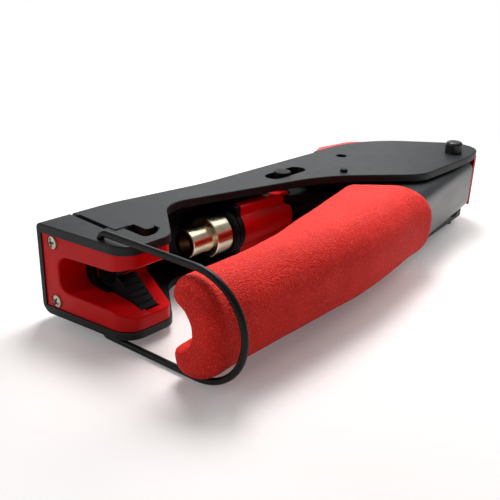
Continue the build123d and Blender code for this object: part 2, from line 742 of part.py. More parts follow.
# Nickel-plated stepped plunger
with BuildPart() as plunger:
    with BuildSketch(Plane.XY):
        with BuildLine():
            Polyline(
                (TIP_X, TIP_HOLE_R),
                (TIP_X, TIP_R - 0.4),
                (TIP_X + 0.4, TIP_R),
                (TIP_X + TIP_L, TIP_R),
                (TIP_X + TIP_L + CONE_L, PLUNGER_R - 0.2),
                (TIP_X + TIP_L + CONE_L + 0.2, PLUNGER_R),
                (RING_X - 0.4, PLUNGER_R),
                (RING_X, PLUNGER_R - 0.4),
                (RING_X, STUD_R),
                (RING_X + STUD_L, STUD_R),
                (RING_X + STUD_L, 0),
                (TIP_X + 9.0, 0),
                (TIP_X + 8.0, TIP_HOLE_R),
                close=True,
            )
        make_face()
    revolve(axis=Axis.X)
plunger.part.label = "plunger"
export_step(plunger.part, "parts/plunger.step")

# Black lock ring on the plunger's thread
with BuildPart() as lock_ring:
    with BuildSketch(Plane.XY):
        with BuildLine():
            Polyline(
                (RING_X, STUD_R),
                (RING_X, RING_R - 0.6),
                (RING_X + 0.6, RING_R),
                (RING_X + RING_L - 0.6, RING_R),
                (RING_X + RING_L, RING_R - 0.6),
                (RING_X + RING_L, STUD_R),
                close=True,
            )
        make_face()
    revolve(axis=Axis.X)
lock_ring.part.label = "lock_ring"
export_step(lock_ring.part, "parts/lock_ring.step")

# Steel core of the slide: takes the plunger's thread and the cross pin
CORE_X = SLIDE_X + 3.0
with BuildPart() as slide_core:
    with BuildSketch(Plane.XY.offset(-CORE_HALF_Z)):
        with Locations(((CORE_X + CROSS_PIN[0]) / 2, (CROSS_PIN[1] - CORE_HALF_Y + CORE_BACK_Y) / 2)):
            Rectangle(CROSS_PIN[0] - CORE_X, CORE_BACK_Y - CROSS_PIN[1] + CORE_HALF_Y)
        with Locations(CROSS_PIN):
            Circle(CORE_EYE_R)
            Circle(CROSS_PIN_R, mode=Mode.SUBTRACT)
    extrude(amount=2 * CORE_HALF_Z)
    # Shoulders behind the red slide
    with BuildSketch(Plane.YZ.offset(SLIDE_X)):
        with Locations(((SHOULDER_Y + CORE_BACK_Y) / 2, 0)):
            Rectangle(CORE_BACK_Y - SHOULDER_Y, 2 * SHOULDER_HALF_Z)
    extrude(amount=CROSS_PIN[0] - EYE_ROOM_R - SLIDE_X)
    # Flange in front of the red slide
    with BuildSketch(Plane.YZ.offset(SLIDE_X - FLANGE_T)):
        Circle(SLIDE_R)
        with Locations((CORE_BACK_Y + 20, 0)):
            Rectangle(40, 40, mode=Mode.SUBTRACT)
        with Locations(((CORE_BACK_Y - SLIDE_HALF_Y) / 2, 0)):
            Rectangle(CORE_BACK_Y + SLIDE_HALF_Y, 2 * SLIDE_HALF_Z)
    extrude(amount=FLANGE_T)
    with BuildSketch(Plane.YZ.offset(CROSS_PIN[0] + CROSS_PIN_R + 0.8)):
        with Locations((CROSS_PIN[1], 0)):
            Circle(SPIGOT_R)
    extrude(amount=CORE_EYE_R - CROSS_PIN_R - 0.8 + SPIGOT_L)
    with BuildSketch(Plane.YZ.offset(RING_X)):
        Circle(STUD_R)
    extrude(amount=STUD_L, mode=Mode.SUBTRACT)
    with BuildSketch(Plane.XY.offset(CORE_HALF_Z - 2.4)):
        with Locations((SLIDE_X + 13.2, -2.8)):
            Circle(0.9)
    extrude(amount=4, mode=Mode.SUBTRACT)
slide_core.part.label = "slide_core"
export_step(slide_core.part, "parts/slide_core.step")

# Red slide around the core
with BuildPart() as slide:
    with BuildSketch(Plane.YZ.offset(SLIDE_X)):
        with Locations(((SHOULDER_Y - SLIDE_HALF_Y) / 2, 0)):
            Rectangle(SHOULDER_Y + SLIDE_HALF_Y, 2 * SLIDE_HALF_Z)
        Circle(SLIDE_R)
        with Locations((SHOULDER_Y + 20, 0)):
            Rectangle(40, 40, mode=Mode.SUBTRACT)
    extrude(amount=SLIDE_L)
    corner_edges = slide.edges().filter_by(Axis.X)
    corner_edges = corner_edges.filter_by(lambda e: abs(abs(e.center().Z) - SLIDE_HALF_Z) < 0.01)
    fillet(corner_edges, 0.8)
    with BuildSketch(Plane.YZ.offset(SLIDE_X - 1)):
        Circle(STUD_R + SEAT)
    extrude(amount=5, mode=Mode.SUBTRACT)
    with BuildSketch(Plane.YZ.offset(CORE_X)):
        with Locations(((CROSS_PIN[1] - CORE_HALF_Y + CORE_BACK_Y) / 2, 0)):
            Rectangle(CORE_BACK_Y - CROSS_PIN[1] + CORE_HALF_Y, 2 * CORE_HALF_Z)
    extrude(amount=60, mode=Mode.SUBTRACT)
    # Room for the link eyes, the core eye and the cross pin
    for side in (-1, 1):
        with BuildSketch(Plane.XY.offset(side * CORE_HALF_Z)):
            with Locations(CROSS_PIN):
                Circle(EYE_ROOM_R)
        extrude(amount=side * (LINK_OUT + 0.4 - CORE_HALF_Z), mode=Mode.SUBTRACT)
    with BuildSketch(Plane.XY.offset(-CORE_HALF_Z)):
        with Locations(CROSS_PIN):
            Circle(CORE_EYE_R)
    extrude(amount=2 * CORE_HALF_Z, mode=Mode.SUBTRACT)
    with BuildSketch(Plane.XY.offset(-HALF_H)):
        with Locations(CROSS_PIN):
            Circle(CROSS_PIN_R)
    extrude(amount=2 * HALF_H, mode=Mode.SUBTRACT)
    with BuildSketch(Plane.XY.offset(CORE_HALF_Z - 1)):
        with Locations((SLIDE_X + 13.2, -2.8)):
            Circle(0.9)
    extrude(amount=10, mode=Mode.SUBTRACT)
slide.part.label = "slide"
export_step(slide.part, "parts/slide.step")

# Small screw that fixes the slide to its core
with BuildPart() as slide_screw:
    with BuildSketch(Plane.XY.offset(CORE_HALF_Z - 2.3)):
        with Locations((SLIDE_X + 13.2, -2.8)):
            Circle(0.9)
    extrude(amount=SLIDE_HALF_Z - CORE_HALF_Z + 2.3)
    with BuildSketch(Plane.XY.offset(SLIDE_HALF_Z)):
        with Locations((SLIDE_X + 13.2, -2.8)):
            Circle(1.4)
    extrude(amount=0.9)
    fillet(slide_screw.edges().filter_by(GeomType.CIRCLE).sort_by(Axis.Z)[-1], 0.4)
slide_screw.part.label = "slide_screw"
export_step(slide_screw.part, "parts/slide_screw.step")

# Cross pin with a round lug at each end running in the guide slots
LUG_IN_Z = SLIDE_HALF_Z + FREE
LUG_OUT_Z = HALF_H + 0.9
with BuildPart() as cross_pin:
    with BuildSketch(Plane.XY.offset(-HALF_H)):
        with Locations(CROSS_PIN):
            Circle(CROSS_PIN_R)
    extrude(amount=2 * HALF_H)
    for low in (-LUG_OUT_Z, LUG_IN_Z):
        with BuildSketch(Plane.XY.offset(low)):
            with Locations(CROSS_PIN):
                Circle(CROSS_LUG_R)
        extrude(amount=LUG_OUT_Z - LUG_IN_Z)
    lug_rims = cross_pin.edges().filter_by(lambda e: abs(abs(e.center().Z) - LUG_OUT_Z) < 1e-6)
    fillet(lug_rims, 0.3)
cross_pin.part.label = "cross_pin"
export_step(cross_pin.part, "parts/cross_pin.step")

# Pair of link plates from the handle to the slide
LINK_LENGTH = math.hypot(LINK_PIVOT[0] - CROSS_PIN[0], LINK_PIVOT[1] - CROSS_PIN[1])
with BuildPart() as links:
    for low in (-LINK_OUT, LINK_IN):
        tilt = math.acos((EYE_FRONT_R - EYE_REAR_R) / LINK_LENGTH)
        link_plane = Plane(
            origin=(CROSS_PIN[0], CROSS_PIN[1], low),
            x_dir=(math.cos(math.radians(LINK_ANGLE)), math.sin(math.radians(LINK_ANGLE)), 0),
            z_dir=(0, 0, 1),
        )
        front = (EYE_FRONT_R * math.cos(tilt), EYE_FRONT_R * math.sin(tilt))
        rear = (LINK_LENGTH + EYE_REAR_R * math.cos(tilt), EYE_REAR_R * math.sin(tilt))
        with BuildSketch(link_plane):
            with BuildLine():
                Line(front, rear)
                ThreePointArc(rear, (LINK_LENGTH + EYE_REAR_R, 0), (rear[0], -rear[1]))
                Line((rear[0], -rear[1]), (front[0], -front[1]))
                ThreePointArc((front[0], -front[1]), (-EYE_FRONT_R, 0), front)
            make_face()
            Circle(CROSS_PIN_R + EYE_PLAY, mode=Mode.SUBTRACT)
            with Locations((LINK_LENGTH, 0)):
                Circle(LINK_PIN_R + RUN, mode=Mode.SUBTRACT)
        extrude(amount=LINK_T)
links.part.label = "links"
export_step(links.part, "parts/links.step")

# Spacer tube between the links on the handle's link pin
with BuildPart() as link_spacer:
    with BuildSketch(Plane.XY.offset(-LINK_IN + RUN)):
        with Locations(LINK_PIVOT):
            Circle(LINK_PIN_R + 1.1)
            Circle(LINK_PIN_R + RUN, mode=Mode.SUBTRACT)
    extrude(amount=2 * (LINK_IN - RUN))
link_spacer.part.label = "link_spacer"
export_step(link_spacer.part, "parts/link_spacer.step")

# Steel handle channel, open towards the frame
with BuildPart() as handle_channel:
    with BuildSketch(Plane.XY.offset(-CHANNEL_HALF)):
        with BuildLine():
            corner_path(CHANNEL)
        make_face()
    extrude(amount=2 * CHANNEL_HALF)
    web_edges = handle_channel.edges().filter_by(lambda e: abs(abs(e.center().Z) - CHANNEL_HALF) < 1e-6)
    web_edges = web_edges.filter_by(lambda e: e.length > 2.5 and abs(e.tangent_at(0.5).X) > 0.9)
    web_edges = web_edges.filter_by(
        lambda e: e.center().Y < WEB_Y + 0.4 + WEB_SLOPE * max(0, e.center().X - WEB_BEND_X)
    )
    fillet(web_edges, CHANNEL_BEND_R)
    with BuildSketch(Plane.XY.offset(-CHANNEL_IN)):
        with BuildLine():
            corner_path([
                (CHANNEL_FREE_X - 20, WEB_Y + CHANNEL_T, 0),
                CHANNEL_IN_PLAN[2],
                (
                    CHANNEL_REAR_X + 20,
                    CHANNEL_IN_PLAN[2][1] + WEB_SLOPE * (CHANNEL_REAR_X + 20 - CHANNEL_IN_PLAN[2][0]),
                    0,
                ),
                (CHANNEL_REAR_X + 20, 40, 0),
                (CHANNEL_FREE_X - 20, 40, 0),
            ])
        make_face()
    extrude(amount=2 * CHANNEL_IN, mode=Mode.SUBTRACT)
    for spot, radius in ((PIVOT, BUSH_R), (LINK_PIVOT, LINK_PIN_R)):
        with BuildSketch(Plane.XY.offset(-CHANNEL_HALF - 1)):
            with Locations(spot):
                Circle(radius)
        extrude(amount=2 * CHANNEL_HALF + 2, mode=Mode.SUBTRACT)
handle_channel.part.label = "handle_channel"
export_step(handle_channel.part, "parts/handle_channel.step")

# Pin of the links in the handle flanges
with BuildPart() as link_pin:
    with BuildSketch(Plane.XY.offset(-CHANNEL_HALF)):
        with Locations(LINK_PIVOT):
            Circle(LINK_PIN_R)
    extrude(amount=2 * CHANNEL_HALF)
link_pin.part.label = "link_pin"
export_step(link_pin.part, "parts/link_pin.step")

# Bearing bush of the handle on the pivot pin
with BuildPart() as pivot_bush:
    with BuildSketch(Plane.XY.offset(-CHANNEL_HALF)):
        with Locations(PIVOT):
            Circle(BUSH_R)
            Circle(PIVOT_R + RUN, mode=Mode.SUBTRACT)
    extrude(amount=2 * CHANNEL_HALF)
pivot_bush.part.label = "pivot_bush"
export_step(pivot_bush.part, "parts/pivot_bush.step")

# Red moulded grip over the free end of the handle
with BuildPart() as grip:
    with BuildSketch(Plane.XY.offset(-GRIP_HALF)):
        with BuildLine():
            corner_path(GRIP)
        make_face()
    extrude(amount=2 * GRIP_HALF)
    rims = grip.edges().filter_by(lambda e: abs(abs(e.center().Z) - GRIP_HALF) < 1e-6)
    long_rims = rims.filter_by(lambda e: abs(e.tangent_at(0.5).X) > 0.9)
    fillet(long_rims.filter_by(lambda e: e.center().Y < GRIP_FRONT_Y + 6.5), GRIP_FRONT_R)
    rims = grip.edges().filter_by(lambda e: abs(abs(e.center().Z) - GRIP_HALF) < 1e-6)
    long_rims = rims.filter_by(lambda e: abs(e.tangent_at(0.5).X) > 0.9)
    fillet(long_rims.filter_by(lambda e: e.center().Y > GRIP_BACK_Y - 1.0), GRIP_BACK_R)
    free_face = grip.faces().sort_by(Axis.X)[0]
    rear_face = grip.faces().filter_by(GeomType.PLANE).filter_by(
        lambda f: f.normal_at().X > 0.5
    ).sort_by(Axis.X)[-1]
    fillet(free_face.edges(), GRIP_END_R)
    fillet(
        grip.faces().filter_by(GeomType.PLANE).filter_by(lambda f: f.normal_at().X > 0.5)
        .sort_by(Axis.X)[-1].edges(),
        GRIP_REAR_R,
    )
    # Rounded groove along the back
    with BuildLine(Plane.XY) as groove_path:
        corner_path(
            [
                (GRIP_FREE_X - 30, GRIP_BACK_Y + GROOVE_OUT, 0),
                (18.4, GRIP_BACK_Y + GROOVE_OUT, 120.0),
                (130.0, GRIP_BACK_Y + GROOVE_OUT + FLANGE_RISE * (130.0 - 18.4), 0),
            ],
            closed=False,
        )
    with BuildSketch(Plane(origin=groove_path.line @ 0, z_dir=groove_path.line % 0)):
        Circle(GROOVE_R)
    sweep(path=groove_path.line, mode=Mode.SUBTRACT)
    add(handle_channel.part, mode=Mode.SUBTRACT)
grip.part.label = "grip"
export_step(grip.part, "parts/grip.step")

# Return spring between the slide core and the back insert
COIL_L = COIL_PITCH * COIL_TURNS
COIL_X = (CROSS_PIN[0] + CORE_EYE_R + SPRING_END_X - COIL_L) / 2
with BuildPart() as return_spring:
    with BuildLine() as coil_path:
        Helix(COIL_PITCH, COIL_L, COIL_R, center=(COIL_X, CROSS_PIN[1], 0), direction=(1, 0, 0))
    with BuildSketch(Plane(origin=coil_path.line @ 0, z_dir=coil_path.line % 0)):
        Circle(COIL_WIRE_R)
    sweep(path=coil_path.line, is_frenet=True)
return_spring.part.label = "return_spring"
export_step(return_spring.part, "parts/return_spring.step")
print("return spring gap between turns", round(COIL_PITCH - 2 * COIL_WIRE_R, 2), "mm")
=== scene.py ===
# %% [markdown]
# # A pocket compression tool, dressed around its solids
# The solids of the tool arrive packed in metres, each on the body that it moves with.
# This lesson keeps every rigid piece where it is, gives each one a finish made from nodes,
# and rebuilds what a solid cannot show well: the foam sleeve, the small screws and the springs.

import math

import bmesh
import bpy
from mathutils import Matrix, Vector


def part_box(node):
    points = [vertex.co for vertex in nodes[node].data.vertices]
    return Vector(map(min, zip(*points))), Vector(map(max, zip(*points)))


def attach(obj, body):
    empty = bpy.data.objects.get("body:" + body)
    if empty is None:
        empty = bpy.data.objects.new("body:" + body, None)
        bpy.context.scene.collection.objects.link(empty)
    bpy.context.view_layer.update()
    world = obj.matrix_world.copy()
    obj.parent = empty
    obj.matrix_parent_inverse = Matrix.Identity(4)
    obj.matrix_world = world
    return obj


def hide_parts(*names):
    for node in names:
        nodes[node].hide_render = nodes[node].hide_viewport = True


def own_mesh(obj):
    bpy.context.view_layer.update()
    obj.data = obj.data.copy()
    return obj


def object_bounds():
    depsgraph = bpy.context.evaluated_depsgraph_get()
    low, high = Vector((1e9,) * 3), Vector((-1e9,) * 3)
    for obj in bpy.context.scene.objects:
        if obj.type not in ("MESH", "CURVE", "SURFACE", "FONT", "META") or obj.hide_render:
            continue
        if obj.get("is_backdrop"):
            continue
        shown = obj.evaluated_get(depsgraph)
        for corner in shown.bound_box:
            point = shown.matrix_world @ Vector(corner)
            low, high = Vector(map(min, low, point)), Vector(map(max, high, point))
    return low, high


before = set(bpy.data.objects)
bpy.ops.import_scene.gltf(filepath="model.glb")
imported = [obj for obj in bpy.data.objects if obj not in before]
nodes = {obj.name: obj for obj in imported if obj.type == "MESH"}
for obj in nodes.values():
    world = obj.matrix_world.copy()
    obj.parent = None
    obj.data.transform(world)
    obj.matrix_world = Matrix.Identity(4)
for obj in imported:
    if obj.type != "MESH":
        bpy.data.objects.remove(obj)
cad_low, cad_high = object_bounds()
MM = 0.001
scene = bpy.context.scene

# %% [markdown]
# ## Camera
# A photograph is a projection that can be undone: the long edges of the frame meet at vanishing
# points, and these give the focal length and the three turns of the camera. Writing the turns as a
# product of plain rotations keeps them readable. Blender's camera looks along its own -Z with +Y up,
# so two rows of the viewing matrix change sign.

# %% Place the camera
YAW, PITCH, ROLL = math.radians(48.15), math.radians(23.09), math.radians(1.73)
FOCAL_PX, IMAGE_PX, SENSOR_MM = 718.0, 500.0, 36.0
EYE = Vector((-106.79, -142.50, 80.85)) * MM

upright = Matrix(((1, 0, 0), (0, 0, -1), (0, 1, 0)))
yaw, pitch, roll = (
    Matrix.Rotation(angle, 3, axis) for angle, axis in ((YAW, "Z"), (PITCH, "X"), (ROLL, "Z"))
)
look = roll @ pitch @ upright @ yaw
lens = bpy.data.cameras.new("table_camera")
lens.sensor_width = SENSOR_MM
lens.lens = SENSOR_MM * FOCAL_PX / IMAGE_PX
lens.clip_start = 5 * MM
camera = bpy.data.objects.new("table_camera", lens)
turned = Matrix((look[0], -look[1], -look[2])).transposed()
camera.matrix_world = Matrix.Translation(EYE) @ turned.to_4x4()
scene.collection.objects.link(camera)
scene.camera = camera
scene.view_settings.view_transform = "Standard"
print("lens in mm:", round(lens.lens, 1))

# %% [markdown]
# ## Table
# The tool lies on a white sweep, which is a large disc. Near the tool it is almost plain matt white and
# keeps the shadows; further out it lights itself for the camera and for mirror images, so it stays white
# to the horizon. To the light that it throws back it is a little darker than it looks. To the camera and
# to mirrors it is tinted a little warm, which is painted warm bounce light in the shadows.

# %% Floor
FLOOR_Z = cad_low[2] - 0.02 * MM
FLOOR_CENTRE = (0.06, -0.02, FLOOR_Z)
FLOOR_R, FLOOR_SIDES = 3.0, 96
floor_mesh = bpy.data.meshes.new("table_top")
shape = bmesh.new()
bmesh.ops.create_circle(shape, cap_ends=True, segments=FLOOR_SIDES, radius=FLOOR_R)
bmesh.ops.translate(shape, verts=shape.verts, vec=FLOOR_CENTRE)
shape.to_mesh(floor_mesh)
shape.free()
floor = bpy.data.objects.new("table_top", floor_mesh)
scene.collection.objects.link(floor)
floor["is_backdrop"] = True
print("floor at mm:", round(FLOOR_Z / MM, 2))


# %% Helpers for node trees
def start_finish(name):
    """A fresh material with its output, and the tree to add nodes to."""
    material = bpy.data.materials.new(name)
    material.use_nodes = True
    tree = material.node_tree
    tree.nodes.clear()
    return material, tree, tree.nodes.new("ShaderNodeOutputMaterial")


def add_node(tree, kind, **settings):
    """A node of a tree with its settings."""
    node = tree.nodes.new(kind)
    for key, value in settings.items():
        setattr(node, key, value)
    return node


def set_inputs(node, values):
    """Fixed values of a node's inputs, given by name."""
    for label, value in values.items():
        node.inputs[label].default_value = value


def wire(tree, *pairs):
    """Links given as output, input."""
    for start, end in pairs:
        tree.links.new(start, end)


# %% White of the table
# The white that the camera and mirrors see is tinted warm: painted warm bounce light, which shows in the
# shadows.
WHITE_TO_LIGHT, WARM_WHITE_PAINTED_BOUNCE = (0.60, 0.58, 0.57, 1), (0.95, 0.89, 0.87, 1)
SELF_LIT = {"From Min": 0.05, "From Max": 0.20, "To Min": 0.12, "To Max": 1.0}

table_white, tree, out = start_finish("table_white")
rays = add_node(tree, "ShaderNodeLightPath")
seen = add_node(tree, "ShaderNodeMath", operation="MAXIMUM")
share = add_node(tree, "ShaderNodeMath", operation="MULTIPLY")
where = add_node(tree, "ShaderNodeTexCoord")
reach = add_node(tree, "ShaderNodeVectorMath", operation="DISTANCE")
reach.inputs[1].default_value = FLOOR_CENTRE
fade = add_node(tree, "ShaderNodeMapRange", interpolation_type="SMOOTHSTEP")
set_inputs(fade, SELF_LIT)
tone = add_node(tree, "ShaderNodeMix", data_type="RGBA")
tone.inputs[6].default_value = WHITE_TO_LIGHT
tone.inputs[7].default_value = WARM_WHITE_PAINTED_BOUNCE
matt = add_node(tree, "ShaderNodeBsdfDiffuse")
glow = add_node(tree, "ShaderNodeEmission")
glow.inputs["Color"].default_value = (1.0, 1.0, 1.0, 1)
both = add_node(tree, "ShaderNodeMixShader")
wire(
    tree,
    (rays.outputs["Is Camera Ray"], seen.inputs[0]),
    (rays.outputs["Is Glossy Ray"], seen.inputs[1]),
    (where.outputs["Object"], reach.inputs[0]),
    (reach.outputs["Value"], fade.inputs["Value"]),
    (seen.outputs[0], share.inputs[0]),
    (fade.outputs["Result"], share.inputs[1]),
    (seen.outputs[0], tone.inputs[0]),
    (tone.outputs[2], matt.inputs["Color"]),
    (share.outputs[0], both.inputs[0]),
    (matt.outputs[0], both.inputs[1]),
    (glow.outputs[0], both.inputs[2]),
    (both.outputs[0], out.inputs["Surface"]),
)
floor_mesh.materials.append(table_white)
print("floor lights itself beyond m:", SELF_LIT["From Max"])

# %% [markdown]
# ## Light
# The world is white for the camera, and dim where it lights or is mirrored. The places of the lamps were
# read from the shadows: a small bright lamp hangs above and behind the handle's middle, a broad window
# stands low beyond the pivot end, a weaker lamp behind the tool stretches the shadow of the grip towards
# the viewer, and a fill lights the head's face. Two cards are lamps that only mirrors see; they give the
# black plate its grey sheen and the plunger its bright line.

# %% World
CALM, MIRRORED = 0.14, 0.3
world = bpy.data.worlds.new("studio")
scene.world = world
world.use_nodes = True
tree = world.node_tree
tree.nodes.clear()


def sky(colour, strength):
    """One background of the world."""
    node = add_node(tree, "ShaderNodeBackground")
    set_inputs(node, {"Color": (*colour, 1), "Strength": strength})
    return node.outputs[0]


out = add_node(tree, "ShaderNodeOutputWorld")
rays = add_node(tree, "ShaderNodeLightPath")
plain = add_node(tree, "ShaderNodeMath", operation="MAXIMUM")
lighting = add_node(tree, "ShaderNodeMixShader")
showing = add_node(tree, "ShaderNodeMixShader")
wire(
    tree,
    (rays.outputs["Is Glossy Ray"], lighting.inputs[0]),
    (sky((0.95, 0.97, 1.0), CALM), lighting.inputs[1]),
    (sky((0.94, 0.97, 1.0), MIRRORED), lighting.inputs[2]),
    (rays.outputs["Is Camera Ray"], plain.inputs[0]),
    (rays.outputs["Is Transmission Ray"], plain.inputs[1]),
    (plain.outputs[0], showing.inputs[0]),
    (lighting.outputs[0], showing.inputs[1]),
    (sky((1.0, 1.0, 1.0), 1.0), showing.inputs[2]),
    (showing.outputs[0], out.inputs["Surface"]),
)
print("world lights with:", CALM, "and is mirrored with:", MIRRORED)


# %% Lamps
def soft_lamp(name, place, aim, size, watts):
    """A square area lamp in metres, turned towards a point."""
    data = bpy.data.lights.new(name, "AREA")
    data.shape = "SQUARE"
    data.size = size
    data.energy = watts
    lamp = bpy.data.objects.new(name, data)
    turn = (Vector(aim) - Vector(place)).to_track_quat("-Z", "Y")
    lamp.matrix_world = Matrix.Translation(place) @ turn.to_matrix().to_4x4()
    scene.collection.objects.link(lamp)
    return lamp


soft_lamp("broad_light", (0.155, 0.08, 0.315), (0.05, -0.03, 0.0), 0.15, 1.36)
soft_lamp("head_fill", (-0.44, 0.24, 0.20), (0.0, 0.0, 0.0), 0.40, 0.62)
window = soft_lamp("far_window", (0.46, -0.02, 0.18), (0.06, -0.02, 0.0), 0.30, 1.6)
back_light = soft_lamp("back_light", (0.04, 0.40, 0.17), (0.04, -0.02, 0.0), 0.16, 0.45)
for lamp in (window, back_light):
    lamp.visible_glossy = False
low_card = soft_lamp("low_card", (0.54, 0.46, 0.22), (0.08, 0.0, 0.01), 0.50, 0.92)
high_card = soft_lamp("high_card", (0.34, 0.0, 0.38), (0.03, 0.0, 0.0), 0.30, 0.5)
for card in (low_card, high_card):
    card.visible_diffuse = False

# %% [markdown]
# ## Finishes
# Each finish is a Principled shader whose colour, roughness and bump come from noise in Object
# coordinates, so the pattern stays on the piece as it moves. A small helper wires the usual three
# noises: a broad one that drifts the colour, a middle one that varies the gloss, and a fine one that
# roughens the surface. What a real coat adds to that, such as turning marks, is added after it.

# %% The common wiring
NOISE_SPAN = (0.3, 0.7)
TONE_EDGES = (0.35, 0.65)
GLOSS_FINER = 4


def object_noise(tree, scale, detail=3.0, stretch=None):
    """A noise in Object coordinates, in cycles per metre, drawn out along the axes given by stretch."""
    where = add_node(tree, "ShaderNodeTexCoord").outputs["Object"]
    if stretch is not None:
        squeeze = add_node(tree, "ShaderNodeMapping")
        set_inputs(squeeze, {"Scale": stretch})
        wire(tree, (where, squeeze.inputs["Vector"]))
        where = squeeze.outputs["Vector"]
    grain = add_node(tree, "ShaderNodeTexNoise")
    set_inputs(grain, {"Scale": scale, "Detail": detail})
    wire(tree, (where, grain.inputs["Vector"]))
    return grain.outputs["Fac"]


def remap(tree, value, low, high, source=NOISE_SPAN):
    """Stretches a noise value to a range."""
    node = add_node(tree, "ShaderNodeMapRange")
    set_inputs(node, {"From Min": source[0], "From Max": source[1], "To Min": low, "To Max": high})
    wire(tree, (value, node.inputs["Value"]))
    return node.outputs["Result"]


def two_tone(tree, value, dark, light):
    """A colour that drifts between two tones."""
    ramp = add_node(tree, "ShaderNodeValToRGB")
    for stop, edge, colour in zip(ramp.color_ramp.elements, TONE_EDGES, (dark, light)):
        stop.position = edge
        stop.color = (*colour, 1)
    wire(tree, (value, ramp.inputs["Fac"]))
    return ramp.outputs["Color"]


def roughen(tree, shader, height, strength, depth):
    """Bump from a height value; depth in metres."""
    bump = add_node(tree, "ShaderNodeBump")
    set_inputs(bump, {"Strength": strength, "Distance": depth})
    wire(tree, (height, bump.inputs["Height"]), (bump.outputs["Normal"], shader.inputs["Normal"]))


def coat(
    name, dark, light, gloss, spec=0.5, drift=70.0, grain=1800.0, strength=0.12, depth=0.06 * MM,
    metal=0.0, stretch=None,
):
    """A finish with drifting colour, varying gloss and, unless its strength is 0, a fine grain."""
    material, tree, out = start_finish(name)
    shader = add_node(tree, "ShaderNodeBsdfPrincipled")
    set_inputs(shader, {"Metallic": metal, "Specular IOR Level": spec})
    colour = two_tone(tree, object_noise(tree, drift), dark, light)
    rough = remap(tree, object_noise(tree, drift * GLOSS_FINER, 4.0, stretch), *gloss)
    wire(
        tree,
        (colour, shader.inputs["Base Color"]),
        (rough, shader.inputs["Roughness"]),
        (shader.outputs[0], out.inputs["Surface"]),
    )
    if strength > 0:
        roughen(tree, shader, object_noise(tree, grain, 2.0, stretch), strength, depth)
    return material


# %% Paint, plastic and metal
satin_black = coat(
    "satin_black", (0.009, 0.010, 0.011), (0.012, 0.0135, 0.0145), (0.46, 0.50), spec=0.22,
    grain=2600.0, strength=0.1,
)
moulded_red = coat(
    "moulded_red", (0.60, 0.002, 0.003), (0.70, 0.003, 0.004), (0.30, 0.40), spec=0.16,
    grain=1500.0, strength=0.05,
)
black_oxide = coat(
    "black_oxide", (0.002, 0.0025, 0.003), (0.005, 0.0055, 0.006), (0.42, 0.58), spec=0.11,
    drift=260.0, grain=3200.0,
)
cap_black = coat(
    "cap_black", (0.004, 0.004, 0.005), (0.009, 0.009, 0.010), (0.32, 0.42), spec=0.4,
    drift=220.0, grain=2600.0, strength=0.05,
)
lacquered_wire = coat(
    "lacquered_wire", (0.002, 0.003, 0.002), (0.005, 0.006, 0.005), (0.3, 0.44), spec=0.18,
    drift=140.0, grain=2400.0, strength=0.1,
)
grey_coat = coat(
    "grey_coat", (0.064, 0.067, 0.069), (0.080, 0.083, 0.085), (0.3, 0.38),
    drift=45.0, grain=1500.0, strength=0.06, metal=0.75, stretch=(0.12, 1.0, 1.0),
)
zinc_plate = coat(
    "zinc_plate", (0.42, 0.38, 0.31), (0.60, 0.56, 0.47), (0.26, 0.4),
    drift=420.0, grain=5200.0, depth=0.03 * MM, metal=0.7,
)
spring_wire = coat(
    "spring_wire", (0.03, 0.03, 0.033), (0.06, 0.06, 0.064), (0.34, 0.48),
    drift=300.0, grain=4200.0, metal=1.0,
)
bush_bronze = coat(
    "bush_bronze", (0.40, 0.25, 0.11), (0.58, 0.39, 0.19), (0.28, 0.44),
    drift=500.0, grain=3600.0, metal=1.0,
)
print("coats:", len([m for m in bpy.data.materials if m.use_nodes]))

# %% [markdown]
# The plunger was turned on a lathe and nickel plated. Turning leaves fine rings across its axis, which
# spread a highlight along the axis. A wave texture whose bands run along X gives the rings, with a
# little distortion so that they don't look printed. The end face of the nose is painted dark as painted
# shade, so the colour changes there by its place along X.

# %% Turned nickel
RINGS = {"Scale": 900.0, "Distortion": 0.6, "Detail": 2.0}
RING_STRENGTH, RING_DEPTH = 0.16, 0.04 * MM
# Dark colour of the nose's end face: painted shade.
NOSE_PAINTED_SHADE = (0.06, 0.05, 0.035, 1)
NOSE_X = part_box("plunger")[0][0]
NOSE_SHADE_EDGE = (NOSE_X + 0.1 * MM, NOSE_X + 0.3 * MM)

turned_nickel = coat(
    "turned_nickel", (0.66, 0.57, 0.40), (0.80, 0.71, 0.53), (0.17, 0.26),
    drift=180.0, strength=0.0, metal=1.0,
)
tree = turned_nickel.node_tree
shader = tree.nodes["Principled BSDF"]
where = add_node(tree, "ShaderNodeTexCoord")
rings = add_node(tree, "ShaderNodeTexWave", wave_type="BANDS", bands_direction="X")
set_inputs(rings, RINGS)
roughen(tree, shader, rings.outputs["Fac"], RING_STRENGTH, RING_DEPTH)
along = add_node(tree, "ShaderNodeSeparateXYZ")
plated = shader.inputs["Base Color"].links[0].from_socket
# The end face of the nose turns dark here: painted shade.
shaded_nose = add_node(tree, "ShaderNodeMix", data_type="RGBA")
shaded_nose.inputs[7].default_value = NOSE_PAINTED_SHADE
wire(
    tree,
    (where.outputs["Object"], rings.inputs["Vector"]),
    (where.outputs["Object"], along.inputs[0]),
    (remap(tree, along.outputs[0], 1.0, 0.0, NOSE_SHADE_EDGE), shaded_nose.inputs[0]),
    (plated, shaded_nose.inputs[6]),
    (shaded_nose.outputs[2], shader.inputs["Base Color"]),
)
print("cut end of the plunger at mm:", round(NOSE_X / MM, 2))

# %% [markdown]
# The sleeve is moulded foam with a closed skin. Its skin is matt and shows a fine grain of cells,
# some of them paler where the skin is thin. Voronoi cells and a fine noise give the grain, and the same
# noise makes the pale flecks. A faint sheen lifts the colour where the surface turns away, as it does
# on foam.

# %% Foam
CELLS_PER_M, FLECKS_PER_M = 2100.0, 2300.0
FLECK_SPAN, FLECK_SHARE = (0.5, 0.74), 0.7
PALE_RED = (0.97, 0.09, 0.06, 1)
PIT_STRENGTH, PIT_DEPTH = 0.8, 0.3 * MM

